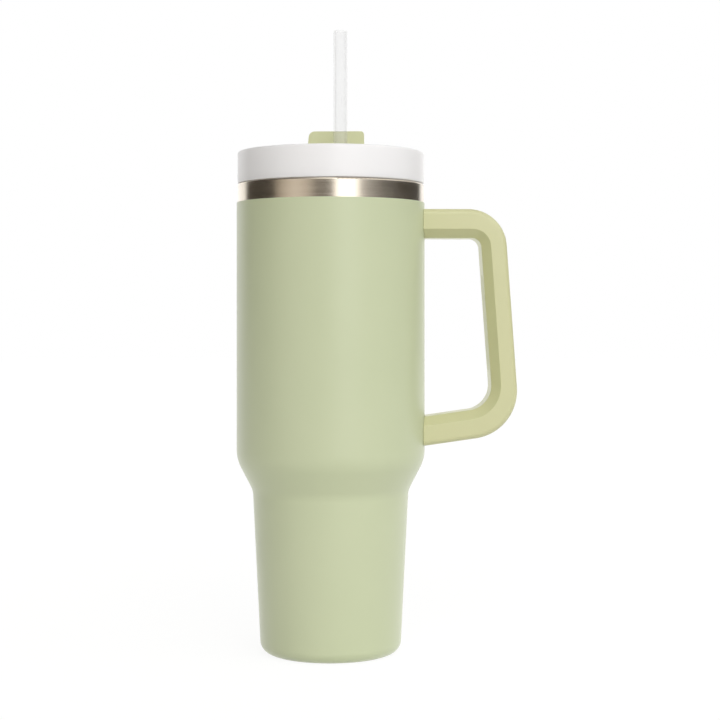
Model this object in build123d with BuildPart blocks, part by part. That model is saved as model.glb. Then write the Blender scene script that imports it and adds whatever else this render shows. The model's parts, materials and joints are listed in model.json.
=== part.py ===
from build123d import *
import os
from math import asin, cos, degrees, hypot, radians, sin, tan

# Insulated travel mug: a double-wall steel vessel with a stepped foot that fits a cup
# holder, a side handle, a screw lid with a rotating cover, and a straw.
# Millimetres. The origin is the centre of the base, on the surface it stands on.
# +Z is up and +X points from the mug's axis to the handle.

# ---------------------------------------------------------------- Driving dimensions

# Steel vessel, heights above the surface it stands on
barrel_r = 49.0
foot_r = 36.4
taper_top_r = 40.55
step_low_z = 84.3
step_high_z = 100.7
lip_z = 243.6
band_h = 9.8
foot_fillet = 6.3
step_low_fillet = 12.0
step_high_fillet = 20.0
sheet = 0.5
vacuum_gap = 2.8
coat_step = 0.35
liner_floor_z = 9.0
liner_floor_fillet = 6.0
neck_h = 17.6
lip_fillet = 1.0
foot_opening_r = 27.0

# Pieces sealed between the walls and under the foot
foil_t = 0.2
foil_low_z = 14.0
vacuum_plate_t = 0.8
vacuum_plate_dish = 2.4
dish_r = 22.0
bead_r = 2.6
bead_hole_r = 1.2
getter_r = 5.0
getter_t = 1.2

# Screw thread between the lid and the neck
thread_starts = 3
thread_pitch = 3.0
thread_turn = 200.0
thread_depth = 13.1
thread_root_half = 0.9
thread_crest_half = 0.5
thread_height = 1.0
thread_bite = 0.3

# Lid, heights measured from the lip it sits on
lid_step = 0.1
lid_h = 16.5
lid_edge_fillet = 1.1
skirt_t = 2.2
skirt_depth = 14.6
deck_h = 10.4
deck_t = 2.4
recess_wall = 4.0
rim_w = 5.2
rim_slope_h = 2.5
gasket_h = 3.2
gasket_depth = 1.2
vent_r = 1.0

# Ports in the lid's deck, on one circle about the axis
window_rim = 7.7
straw_side_gap = 3.3
straw_azimuth = -80.3
port_wall = 0.923
drink_span = 28.0
drink_w = 7.6
seal_w = 1.4
seal_land = 0.7
seal_depth = 1.3
grommet_body_r = 5.6
grommet_flange_r = 7.4
grommet_flange_t = 1.0

# Rotating cover
cover_t = 2.2
cover_lift = 0.3
cover_edge_gap = 0.6
window_w = 10.4
window_spare = 3.0
pivot_r = 4.0
pivot_end = 1.1
pivot_pad_r = 8.0
pivot_seal_t = 1.7
retainer_groove = 0.7
retainer_r = 6.6
retainer_t = 1.0
retainer_mouth = 5.0
stop_half_angle = 3.0
stop_depth = 1.5
tab_w = 28.3
tab_depth = 7.0
tab_azimuth = -94.0
tab_circle_r = 7.0
tab_shift = 3.5
tab_h = 13.7
tab_lean = 0.7
tab_lean_h = 8.0
tab_fillet = 1.6

# Straw
straw_r = 3.5
straw_wall = 0.8
straw_floor_gap = 4.0
straw_l = 306.3
straw_pull = 40.0
stop_ring_r = 5.0
stop_ring_h = 2.0

# Handle
handle_w = 24.0
arm_t = 15.0
arm_top_gap = 3.4
arm_low_gap = 7.1
arm_rise = 8.0
grip_x = 89.8
grip_t = 13.1
grip_lean = 4.14
outer_top_radius = 20.0
outer_low_radius = 25.0
inner_top_radius = 5.0
inner_low_radius = 13.0
inner_chamfer = 4.6
outer_fillet = 2.8
pad_end_gap = 10.0
pad_w = 12.0
pad_t = 1.2

# Handle fastening
plate_t = 1.2
plate_w = 15.0
plate_h = 10.0
tongue_l = 16.0
tongue_w = 12.0
tongue_t = 6.0
screw_r = 1.95
screw_head_r = 3.4
screw_head_t = 2.3
screw_at = 10.0
screw_socket_r = 1.3
screw_socket_depth = 1.4
plug_r = 3.6
plug_t = 1.2

# Clearances
joint_line = 0.05
run_gap = 0.08
seal_gap = 0.15
groove_gap = 0.1
thread_gap = 0.5
pocket_gap = 0.15
stop_gap_angle = 0.5

# ---------------------------------------------------------------- Worked-out sizes

coat_top_z = lip_z - band_h
band_r = barrel_r - coat_step
liner_inset = sheet + vacuum_gap
neck_r = barrel_r - liner_inset - sheet
neck_low_z = lip_z - neck_h
thread_lead = thread_starts * thread_pitch
thread_low_z = lip_z - thread_depth
lid_r = band_r - lid_step
lid_top_z = lip_z + lid_h
skirt_r = neck_r - thread_height - thread_gap
skirt_low_z = lip_z - skirt_depth
deck_top_z = lip_z + deck_h
recess_r = skirt_r - recess_wall
rim_inner_r = lid_r - rim_w
rim_slope_z = lid_top_z - rim_slope_h
gasket_outer_r = neck_r - seal_gap
gasket_groove_r = skirt_r - gasket_depth
gasket_low_z = lip_z - gasket_h - groove_gap
deck_low_z = deck_top_z - deck_t
cover_low_z = deck_top_z + cover_lift
cover_top_z = cover_low_z + cover_t
cover_r = recess_r - cover_edge_gap
liner_floor_r = foot_r - liner_inset - sheet
port_circle_r = min(
    liner_floor_r - straw_r - straw_side_gap,
    cover_r - window_w / 2 - window_rim,
)
port_seal_r = drink_w / 2 + seal_land + seal_w
ports_apart = grommet_flange_r + port_wall + port_seal_r
drink_from = degrees(2 * asin(ports_apart / (2 * port_circle_r)))
cover_turn = drink_from + drink_span
window_from = -cover_turn - window_spare
window_span = cover_turn + 2 * window_spare
stop_azimuth = straw_azimuth + 180
grommet_low_z = deck_low_z - joint_line - grommet_flange_t
retainer_top_z = deck_low_z - cover_lift
pivot_low_z = retainer_top_z - retainer_t - pivot_end
straw_low_z = liner_floor_z + straw_floor_gap
straw_top_z = straw_low_z + straw_l
arm_top_z = coat_top_z - arm_top_gap
arm_low_z = step_high_z + arm_low_gap
plate_seat_z = sheet + joint_line
tongue_from = joint_line + sheet


def polar_point(radius, azimuth):
    """Point on a circle about the mug's axis."""
    return radius * cos(radians(azimuth)), radius * sin(radians(azimuth))


def outside_r(z):
    """Outside radius of the wall at height z, before its corners are rounded."""
    if z <= step_low_z:
        return foot_r + (taper_top_r - foot_r) * z / step_low_z
    if z <= step_high_z:
        share = (z - step_low_z) / (step_high_z - step_low_z)
        return taper_top_r + (barrel_r - taper_top_r) * share
    return barrel_r


def wall_points(inset, floor_z, top_z):
    """Half section of the vessel's form, drawn in by inset and closed at the axis."""
    return [
        (0, floor_z),
        (outside_r(floor_z) - inset, floor_z),
        (taper_top_r - inset, step_low_z),
        (barrel_r - inset, step_high_z),
        (barrel_r - inset, top_z),
        (0, top_z),
    ]


def wall_radii(corner):
    """Corner radii that go with wall_points."""
    return [0, corner, step_low_fillet, step_high_fillet, 0, 0]


def thread_ridge(root_r, crest_r):
    """Half section of a thread ridge, from its root to its crest, about height 0."""
    return [
        (root_r, -thread_root_half),
        (crest_r, -thread_crest_half),
        (crest_r, thread_crest_half),
        (root_r, thread_root_half),
    ]


straw_xy = polar_point(port_circle_r, straw_azimuth)

os.makedirs("parts", exist_ok=True)

# ---------------------------------------------------------------- Steel vessel

# Outer shell: drawn sheet with a stepped foot, coated up to the bare mouth band
with BuildPart() as outer_shell:
    with BuildSketch(Plane.XZ):
        with BuildLine():
            outside = wall_points(0, 0, coat_top_z)
            FilletPolyline(*outside, radius=wall_radii(foot_fillet), close=True)
        make_face()
    revolve(axis=Axis.Z)
    with BuildSketch(Plane.XZ):
        with BuildLine():
            inside = wall_points(sheet, sheet, coat_top_z + sheet)
            FilletPolyline(*inside, radius=wall_radii(foot_fillet - sheet), close=True)
        make_face()
    revolve(axis=Axis.Z, mode=Mode.SUBTRACT)
    with BuildSketch(Plane.XY):
        Circle(foot_opening_r)
    extrude(amount=sheet, mode=Mode.SUBTRACT)
outer_shell.part.label = "outer_shell"
export_step(outer_shell.part, "parts/outer_shell.step")

# Mouth band: bare ring folded over the lip, with the neck's thread on its inside
with BuildPart() as mouth_band:
    with BuildSketch(Plane.XZ):
        with BuildLine():
            FilletPolyline(
                (band_r, coat_top_z),
                (band_r, lip_z),
                (neck_r, lip_z),
                (neck_r, neck_low_z),
                (neck_r + sheet, neck_low_z),
                (neck_r + sheet, lip_z - sheet),
                (band_r - sheet, lip_z - sheet),
                (band_r - sheet, coat_top_z),
                radius=[0, lip_fillet, lip_fillet, 0, 0, 0, 0, 0],
                close=True,
            )
        make_face()
    revolve(axis=Axis.Z)
    for start in range(thread_starts):
        turned = Plane.XY.offset(thread_low_z).rotated((0, 0, start * 360 / thread_starts))
        with BuildLine(turned) as neck_path:
            Helix(thread_lead, thread_lead * thread_turn / 360, neck_r)
        section_plane = Plane(turned.origin, x_dir=turned.x_dir, z_dir=-turned.y_dir)
        with BuildSketch(section_plane):
            with BuildLine():
                ridge = thread_ridge(neck_r + thread_bite, neck_r - thread_height)
                Polyline(*ridge, close=True)
            make_face()
        sweep(path=neck_path.wire(), is_frenet=True)
mouth_band.part.label = "mouth_band"
export_step(mouth_band.part, "parts/mouth_band.step")

# Inner liner: the cup that holds the drink, inside the vacuum space
with BuildPart() as inner_liner:
    with BuildSketch(Plane.XZ):
        with BuildLine():
            outside = wall_points(liner_inset, liner_floor_z - sheet, neck_low_z)
            FilletPolyline(*outside, radius=wall_radii(liner_floor_fillet + sheet), close=True)
        make_face()
    revolve(axis=Axis.Z)
    with BuildSketch(Plane.XZ):
        with BuildLine():
            inside = wall_points(liner_inset + sheet, liner_floor_z, neck_low_z + sheet)
            FilletPolyline(*inside, radius=wall_radii(liner_floor_fillet), close=True)
        make_face()
    revolve(axis=Axis.Z, mode=Mode.SUBTRACT)
inner_liner.part.label = "inner_liner"
export_step(inner_liner.part, "parts/inner_liner.step")

# Insulation foil: wrapped round the liner's wall, open at both ends
foil_inset = liner_inset - joint_line
with BuildPart() as insulation_foil:
    with BuildSketch(Plane.XZ):
        with BuildLine():
            outside = wall_points(foil_inset - foil_t, foil_low_z, neck_low_z)
            FilletPolyline(*outside, radius=wall_radii(0), close=True)
        make_face()
    revolve(axis=Axis.Z)
    with BuildSketch(Plane.XZ):
        with BuildLine():
            inside = wall_points(foil_inset, foil_low_z - sheet, neck_low_z + sheet)
            FilletPolyline(*inside, radius=wall_radii(0), close=True)
        make_face()
    revolve(axis=Axis.Z, mode=Mode.SUBTRACT)
insulation_foil.part.label = "insulation_foil"
export_step(insulation_foil.part, "parts/insulation_foil.step")

# Vacuum plate: dished disc welded over the foot opening, with the evacuation hole
plate_r = outside_r(0) - foot_fillet - joint_line
with BuildPart() as vacuum_plate:
    with BuildSketch(Plane.XZ):
        with BuildLine():
            Polyline(
                (bead_hole_r, plate_seat_z + vacuum_plate_dish),
                (dish_r, plate_seat_z + vacuum_plate_dish),
                (dish_r + vacuum_plate_dish, plate_seat_z),
                (plate_r, plate_seat_z),
                (plate_r, plate_seat_z + vacuum_plate_t),
                (dish_r + vacuum_plate_dish, plate_seat_z + vacuum_plate_t),
                (dish_r, plate_seat_z + vacuum_plate_dish + vacuum_plate_t),
                (bead_hole_r, plate_seat_z + vacuum_plate_dish + vacuum_plate_t),
                close=True,
            )
        make_face()
    revolve(axis=Axis.Z)
vacuum_plate.part.label = "vacuum_plate"
export_step(vacuum_plate.part, "parts/vacuum_plate.step")

# Seal bead: fused over the evacuation hole, on the plate's underside
bead_top_z = plate_seat_z + vacuum_plate_dish - joint_line
with BuildPart() as seal_bead:
    with BuildSketch(Plane.XY.offset(bead_top_z)):
        Circle(bead_r)
    extrude(amount=-vacuum_plate_t * 2)
    fillet(seal_bead.edges().group_by(Axis.Z)[0], radius=vacuum_plate_t)
seal_bead.part.label = "seal_bead"
export_step(seal_bead.part, "parts/seal_bead.step")

# Getter: pill that keeps the vacuum, fixed under the liner's floor
with BuildPart() as getter:
    with BuildSketch(Plane.XY.offset(liner_floor_z - sheet - joint_line)):
        Circle(getter_r)
    extrude(amount=-getter_t)
getter.part.label = "getter"
export_step(getter.part, "parts/getter.step")

# Base cover: flat disc that closes the foot
with BuildPart() as base_cover:
    with BuildSketch(Plane.XY):
        Circle(foot_opening_r - joint_line)
    extrude(amount=sheet)
base_cover.part.label = "base_cover"
export_step(base_cover.part, "parts/base_cover.step")

# ---------------------------------------------------------------- Handle

lean = tan(radians(grip_lean))
rise = tan(radians(arm_rise))
root_x = barrel_r - inner_low_radius


def lower_arm_z(x, arm_z):
    """Height at x of a lower-arm face that meets the barrel at height arm_z."""
    return arm_z + rise * (x - barrel_r)


def low_corner(edge_x, arm_z):
    """Where a leaning grip face, at edge_x level with the arm's top, meets the lower arm."""
    z = (lower_arm_z(edge_x, arm_z) + rise * lean * arm_top_z) / (1 + rise * lean)
    return edge_x + lean * (arm_top_z - z), z


outer_corner = low_corner(grip_x, arm_low_z)
inner_corner = low_corner(grip_x - grip_t, arm_low_z + arm_t)
inner_top = (grip_x - grip_t + lean * arm_t, arm_top_z - arm_t)

# Each arm's own plane: it lies along the arm's middle and faces the hand
upper_mid_z = arm_top_z - arm_t / 2
lower_mid_z = arm_low_z + arm_t / 2
arm_planes = {
    "upper": Plane((barrel_r, 0, upper_mid_z), x_dir=(1, 0, 0), z_dir=(0, 0, -1)),
    "lower": Plane((barrel_r, 0, lower_mid_z), x_dir=(1, 0, rise), z_dir=(-rise, 0, 1)),
}
pad_reach = hypot(inner_top[0] - inner_corner[0], inner_top[1] - inner_corner[1])
pad_l = pad_reach - inner_top_radius - inner_low_radius - 2 * pad_end_gap
pad_mid = ((inner_top[0] + inner_corner[0]) / 2, 0, (inner_top[1] + inner_corner[1]) / 2)
pad_plane = Plane(pad_mid, x_dir=(lean, 0, -1), z_dir=(-1, 0, -lean))
head_from = arm_t / 2 - plug_t - joint_line - screw_head_t

# Handle shell: one moulding, with a pocket in each arm for its bracket
with BuildPart() as handle_shell:
    with BuildSketch(Plane.XZ):
        with BuildLine():
            FilletPolyline(
                (root_x, arm_top_z),
                (grip_x, arm_top_z),
                outer_corner,
                (root_x, lower_arm_z(root_x, arm_low_z)),
                radius=[0, outer_top_radius, outer_low_radius, 0],
                close=True,
            )
        make_face()
    extrude(amount=handle_w / 2, both=True)
    loop_edges = handle_shell.faces().filter_by(Axis.Y).edges()
    fillet(loop_edges.filter_by(lambda edge: edge.center().X > root_x + 1), radius=outer_fillet)
    with BuildSketch(Plane.XZ):
        with BuildLine():
            FilletPolyline(
                (root_x, arm_top_z - arm_t),
                inner_top,
                inner_corner,
                (root_x, lower_arm_z(root_x, arm_low_z + arm_t)),
                radius=[0, inner_top_radius, inner_low_radius, 0],
                close=True,
            )
        make_face()
    extrude(amount=handle_w / 2, both=True, mode=Mode.SUBTRACT)
    window_edges = handle_shell.edges(Select.LAST)
    window_edges = window_edges.filter_by(lambda edge: edge.center().X > root_x + 1)
    window_edges = window_edges.filter_by(lambda edge: abs(edge.center().Y) > handle_w / 4)
    chamfer(window_edges, length=inner_chamfer)
    with BuildSketch(Plane.XY):
        Circle(barrel_r + joint_line)
    extrude(amount=lip_z, mode=Mode.SUBTRACT)
    for arm_plane in arm_planes.values():
        with BuildSketch(Plane.XY.offset(arm_plane.origin.Z - plate_h / 2 - pocket_gap)):
            Circle(barrel_r + joint_line + plate_t + pocket_gap)
            with Locations((barrel_r, 0)):
                Rectangle(plate_w, plate_w + 2 * pocket_gap, mode=Mode.INTERSECT)
        extrude(amount=plate_h + 2 * pocket_gap, mode=Mode.SUBTRACT)
        with BuildSketch(arm_plane):
            with Locations((0, 0)):
                Rectangle(
                    tongue_l + pocket_gap,
                    tongue_w + 2 * pocket_gap,
                    align=(Align.MIN, Align.CENTER),
                )
        extrude(amount=tongue_t / 2 + pocket_gap, both=True, mode=Mode.SUBTRACT)
        with BuildSketch(arm_plane):
            with Locations((screw_at, 0)):
                Circle(screw_r + pocket_gap)
        extrude(amount=arm_t / 2, mode=Mode.SUBTRACT)
        with BuildSketch(arm_plane.offset(head_from)):
            with Locations((screw_at, 0)):
                Circle(plug_r + joint_line)
        extrude(amount=arm_t / 2, mode=Mode.SUBTRACT)
    with BuildSketch(pad_plane):
        SlotOverall(pad_l + 2 * joint_line, pad_w + 2 * joint_line)
    extrude(amount=-pad_t - joint_line, mode=Mode.SUBTRACT)
handle_shell.part.label = "handle_shell"
export_step(handle_shell.part, "parts/handle_shell.step")

# Grip pad: soft strip let into the face that the fingers hold
with BuildPart() as grip_pad:
    with BuildSketch(pad_plane):
        SlotOverall(pad_l, pad_w)
    extrude(amount=-pad_t)
grip_pad.part.label = "grip_pad"
export_step(grip_pad.part, "parts/grip_pad.step")

# Handle brackets: a curved plate welded to the barrel, with a tapped tongue
for arm, arm_plane in arm_planes.items():
    with BuildPart() as bracket:
        with BuildSketch(Plane.XY.offset(arm_plane.origin.Z - plate_h / 2)):
            Circle(barrel_r + joint_line + plate_t)
            Circle(barrel_r + joint_line, mode=Mode.SUBTRACT)
            with Locations((barrel_r, 0)):
                Rectangle(plate_w, plate_w, mode=Mode.INTERSECT)
        extrude(amount=plate_h)
        with BuildSketch(arm_plane):
            with Locations((tongue_from, 0)):
                Rectangle(
                    tongue_l - tongue_from,
                    tongue_w,
                    align=(Align.MIN, Align.CENTER),
                )
        extrude(amount=tongue_t / 2, both=True)
        with BuildSketch(arm_plane):
            with Locations((screw_at, 0)):
                Circle(screw_r + joint_line)
        extrude(amount=tongue_t, both=True, mode=Mode.SUBTRACT)
    bracket.part.label = f"handle_bracket_{arm}"
    export_step(bracket.part, f"parts/handle_bracket_{arm}.step")

# Handle screws: one in each arm, driven from the hand side into the tongue
with BuildPart() as handle_screws:
    for arm_plane in arm_planes.values():
        with BuildSketch(arm_plane.offset(-tongue_t / 2)):
            with Locations((screw_at, 0)):
                Circle(screw_r)
        extrude(amount=tongue_t / 2 + head_from + screw_head_t)
        with BuildSketch(arm_plane.offset(head_from + joint_line)):
            with Locations((screw_at, 0)):
                Circle(screw_head_r)
        extrude(amount=screw_head_t - joint_line)
        with BuildSketch(arm_plane.offset(head_from + screw_head_t)):
            with Locations((screw_at, 0)):
                RegularPolygon(screw_socket_r, side_count=6)
        extrude(amount=-screw_socket_depth, mode=Mode.SUBTRACT)
handle_screws.part.label = "handle_screws"
export_step(handle_screws.part, "parts/handle_screws.step")

# Handle plugs: flush caps over the screw heads
with BuildPart() as handle_plugs:
    for arm_plane in arm_planes.values():
        with BuildSketch(arm_plane.offset(arm_t / 2 - plug_t)):
            with Locations((screw_at, 0)):
                Circle(plug_r)
        extrude(amount=plug_t)
handle_plugs.part.label = "handle_plugs"
export_step(handle_plugs.part, "parts/handle_plugs.step")

# ---------------------------------------------------------------- Lid

# Lid body: rim and threaded skirt round a sunk deck with the straw and drink ports
with BuildPart() as lid_body:
    with BuildSketch(Plane.XZ):
        with BuildLine():
            FilletPolyline(
                (0, deck_low_z),
                (skirt_r - skirt_t, deck_low_z),
                (skirt_r - skirt_t, skirt_low_z),
                (skirt_r, skirt_low_z),
                (skirt_r, gasket_low_z - groove_gap),
                (gasket_groove_r, gasket_low_z - groove_gap),
                (gasket_groove_r, lip_z),
                (lid_r, lip_z),
                (lid_r, lid_top_z),
                (rim_inner_r, lid_top_z),
                (recess_r, rim_slope_z),
                (recess_r, deck_top_z),
                (0, deck_top_z),
                radius=[0, 1.5, 0, 0.8, 0, 0, 0, 0.5, lid_edge_fillet, 1.5, 1.5, 0.6, 0],
                close=True,
            )
        make_face()
    revolve(axis=Axis.Z)
    for start in range(thread_starts):
        turned = Plane.XY.offset(thread_low_z + thread_pitch / 2)
        turned = turned.rotated((0, 0, start * 360 / thread_starts))
        with BuildLine(turned) as skirt_path:
            Helix(thread_lead, thread_lead * thread_turn / 360, skirt_r)
        section_plane = Plane(turned.origin, x_dir=turned.x_dir, z_dir=-turned.y_dir)
        with BuildSketch(section_plane):
            with BuildLine():
                ridge = thread_ridge(skirt_r - thread_bite, skirt_r + thread_height)
                Polyline(*ridge, close=True)
            make_face()
        sweep(path=skirt_path.wire(), is_frenet=True)
    with BuildSketch(Plane.XY.offset(deck_low_z)):
        Circle(pivot_r + run_gap)
        with Locations(straw_xy):
            Circle(grommet_body_r)
        with Locations(polar_point(port_circle_r, straw_azimuth + 180)):
            Circle(vent_r)
        with BuildLine(mode=Mode.PRIVATE) as drink_path:
            CenterArc((0, 0), port_circle_r, straw_azimuth + drink_from, drink_span)
        SlotArc(arc=drink_path.wire(), height=drink_w)
    extrude(amount=deck_t, mode=Mode.SUBTRACT)
    with BuildSketch(Plane.XY.offset(deck_top_z)):
        with Locations(straw_xy):
            Circle(grommet_flange_r + joint_line)
    extrude(amount=-grommet_flange_t, mode=Mode.SUBTRACT)
    with BuildSketch(Plane.XY.offset(deck_top_z)):
        Circle(pivot_r + run_gap + pivot_seal_t)
    extrude(amount=-seal_depth, mode=Mode.SUBTRACT)
    with BuildSketch(Plane.XY.offset(deck_top_z)):
        SlotArc(arc=drink_path.wire(), height=2 * port_seal_r)
        SlotArc(arc=drink_path.wire(), height=drink_w + 2 * seal_land, mode=Mode.SUBTRACT)
    extrude(amount=-seal_depth, mode=Mode.SUBTRACT)
    with BuildSketch(Plane.XY.offset(deck_top_z)):
        with BuildLine():
            outer_arc = CenterArc(
                (0, 0), recess_r, stop_azimuth - stop_half_angle, 2 * stop_half_angle
            )
            inner_arc = CenterArc(
                (0, 0),
                recess_r - stop_depth,
                stop_azimuth - stop_half_angle,
                2 * stop_half_angle,
            )
            Line(outer_arc @ 0, inner_arc @ 0)
            Line(outer_arc @ 1, inner_arc @ 1)
        make_face()
    extrude(amount=cover_lift + cover_t)
lid_body.part.label = "lid_body"
export_step(lid_body.part, "parts/lid_body.step")

# Lid gasket: silicone ring under the rim, with two wiping lips
gasket_inner_r = gasket_groove_r + groove_gap
gasket_waist_r = skirt_r + seal_gap
with BuildPart() as lid_gasket:
    with BuildSketch(Plane.XZ):
        with BuildLine():
            Polyline(
                (gasket_inner_r, gasket_low_z),
                (gasket_waist_r, gasket_low_z),
                (gasket_outer_r, gasket_low_z + gasket_h * 0.25),
                (gasket_waist_r, gasket_low_z + gasket_h * 0.5),
                (gasket_outer_r, gasket_low_z + gasket_h * 0.75),
                (gasket_waist_r, gasket_low_z + gasket_h),
                (gasket_inner_r, gasket_low_z + gasket_h),
                close=True,
            )
        make_face()
    revolve(axis=Axis.Z)
lid_gasket.part.label = "lid_gasket"
export_step(lid_gasket.part, "parts/lid_gasket.step")

# Straw grommet: silicone bush that grips the straw in the deck
with BuildPart() as straw_grommet:
    with BuildSketch(Plane.XY.offset(grommet_low_z)):
        with Locations(straw_xy):
            Circle(grommet_flange_r)
    extrude(amount=grommet_flange_t)
    with BuildSketch(Plane.XY.offset(grommet_low_z)):
        with Locations(straw_xy):
            Circle(grommet_body_r - joint_line)
    extrude(amount=deck_top_z - grommet_low_z)
    with BuildSketch(Plane.XY.offset(deck_top_z)):
        with Locations(straw_xy):
            Circle(grommet_flange_r)
    extrude(amount=-grommet_flange_t + joint_line)
    with BuildSketch(Plane.XY.offset(grommet_low_z)):
        with Locations(straw_xy):
            Circle(straw_r + run_gap)
    extrude(amount=deck_top_z - grommet_low_z, mode=Mode.SUBTRACT)
straw_grommet.part.label = "straw_grommet"
export_step(straw_grommet.part, "parts/straw_grommet.step")

# Port seal: silicone loop round the drink port, wiped by the cover
with BuildPart() as port_seal:
    with BuildSketch(Plane.XY.offset(deck_top_z - seal_depth + joint_line)):
        with BuildLine(mode=Mode.PRIVATE) as seal_path:
            CenterArc((0, 0), port_circle_r, straw_azimuth + drink_from, drink_span)
        SlotArc(arc=seal_path.wire(), height=2 * (port_seal_r - joint_line))
        SlotArc(
            arc=seal_path.wire(),
            height=drink_w + 2 * (seal_land + joint_line),
            mode=Mode.SUBTRACT,
        )
    extrude(amount=seal_depth + cover_lift - 2 * joint_line)
port_seal.part.label = "port_seal"
export_step(port_seal.part, "parts/port_seal.step")

# Pivot seal: silicone ring round the cover's stem
with BuildPart() as pivot_seal:
    with BuildSketch(Plane.XY.offset(deck_top_z - seal_depth + joint_line)):
        Circle(pivot_r + run_gap + pivot_seal_t - joint_line)
        Circle(pivot_r + run_gap, mode=Mode.SUBTRACT)
    extrude(amount=seal_depth - 2 * joint_line)
pivot_seal.part.label = "pivot_seal"
export_step(pivot_seal.part, "parts/pivot_seal.step")

# Rotating cover: disc on a pivot stem, with a window for the straw and a grip tab
tab_plane = Plane(
    (*polar_point(tab_circle_r, tab_azimuth), cover_top_z),
    x_dir=(-sin(radians(tab_azimuth)), cos(radians(tab_azimuth)), 0),
    z_dir=(cos(radians(tab_azimuth)), sin(radians(tab_azimuth)), 0),
)
tab_left = tab_shift - tab_w / 2
notch_half = stop_half_angle + stop_gap_angle
with BuildPart() as rotating_cover:
    with BuildSketch(Plane.XY.offset(cover_low_z)):
        Circle(cover_r)
        with BuildLine(mode=Mode.PRIVATE) as window_path:
            CenterArc((0, 0), port_circle_r, straw_azimuth + window_from, window_span)
        SlotArc(arc=window_path.wire(), height=window_w, mode=Mode.SUBTRACT)
    extrude(amount=cover_t)
    fillet(rotating_cover.edges().group_by(Axis.Z)[-1], radius=0.6)
    with BuildSketch(Plane.XY.offset(cover_low_z)):
        with BuildLine():
            notch_outer = CenterArc(
                (0, 0),
                recess_r,
                stop_azimuth - notch_half - cover_turn,
                cover_turn + 2 * notch_half,
            )
            notch_inner = CenterArc(
                (0, 0),
                recess_r - stop_depth - cover_edge_gap,
                stop_azimuth - notch_half - cover_turn,
                cover_turn + 2 * notch_half,
            )
            Line(notch_outer @ 0, notch_inner @ 0)
            Line(notch_outer @ 1, notch_inner @ 1)
        make_face()
    extrude(amount=cover_t, mode=Mode.SUBTRACT)
    with BuildSketch(Plane.XY.offset(deck_top_z + joint_line)):
        Circle(pivot_pad_r)
    extrude(amount=cover_lift)
    with BuildSketch(Plane.XY.offset(cover_low_z)):
        Circle(pivot_r)
    extrude(amount=pivot_low_z - cover_low_z)
    with BuildSketch(Plane.XY.offset(retainer_top_z)):
        Circle(pivot_r)
        Circle(pivot_r - retainer_groove, mode=Mode.SUBTRACT)
    extrude(amount=-retainer_t - joint_line, mode=Mode.SUBTRACT)
    with BuildSketch(tab_plane.offset(-tab_depth / 2)):
        with BuildLine():
            FilletPolyline(
                (tab_left - tab_lean, 0),
                (tab_left + tab_w, 0),
                (tab_left + tab_w, tab_h),
                (tab_left, tab_h),
                (tab_left - tab_lean, tab_h - tab_lean_h),
                radius=[0, 0, tab_fillet, 2 * tab_fillet, tab_fillet],
                close=True,
            )
        make_face()
    extrude(amount=tab_depth)
rotating_cover.part.label = "rotating_cover"
export_step(rotating_cover.part, "parts/rotating_cover.step")

# Cover retainer: clip in the stem's groove, under the deck
with BuildPart() as cover_retainer:
    with BuildSketch(Plane.XY.offset(retainer_top_z - joint_line / 2)):
        Circle(retainer_r)
        Circle(pivot_r - retainer_groove + joint_line, mode=Mode.SUBTRACT)
        with Locations((0, -retainer_r)):
            Rectangle(retainer_mouth, 2 * retainer_r, mode=Mode.SUBTRACT)
    extrude(amount=-retainer_t)
cover_retainer.part.label = "cover_retainer"
export_step(cover_retainer.part, "parts/cover_retainer.step")

# ---------------------------------------------------------------- Straw

# Straw: clear tube with a moulded ring that stops it under the grommet
with BuildPart() as straw:
    with BuildSketch(Plane.XY.offset(straw_low_z)):
        with Locations(straw_xy):
            Circle(straw_r)
    extrude(amount=straw_top_z - straw_low_z)
    with BuildSketch(Plane.XY.offset(grommet_low_z - straw_pull - joint_line)):
        with Locations(straw_xy):
            Circle(stop_ring_r)
    extrude(amount=-stop_ring_h)
    with BuildSketch(Plane.XY.offset(straw_low_z)):
        with Locations(straw_xy):
            Circle(straw_r - straw_wall)
    extrude(amount=straw_top_z - straw_low_z, mode=Mode.SUBTRACT)
straw.part.label = "straw"
export_step(straw.part, "parts/straw.step")
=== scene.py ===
"""Looks of the insulated travel mug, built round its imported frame.

Each sub-assembly is a class with its sizes in metres, in the frame's own axes: +Z up
and +X from the mug's axis to the handle. Each finish is a frozen dataclass that builds
one procedural material. main() makes everything in order and reports each piece.
"""

import json
import logging
import math
from dataclasses import dataclass
from enum import Enum
from typing import Any, Sequence, Union

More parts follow.
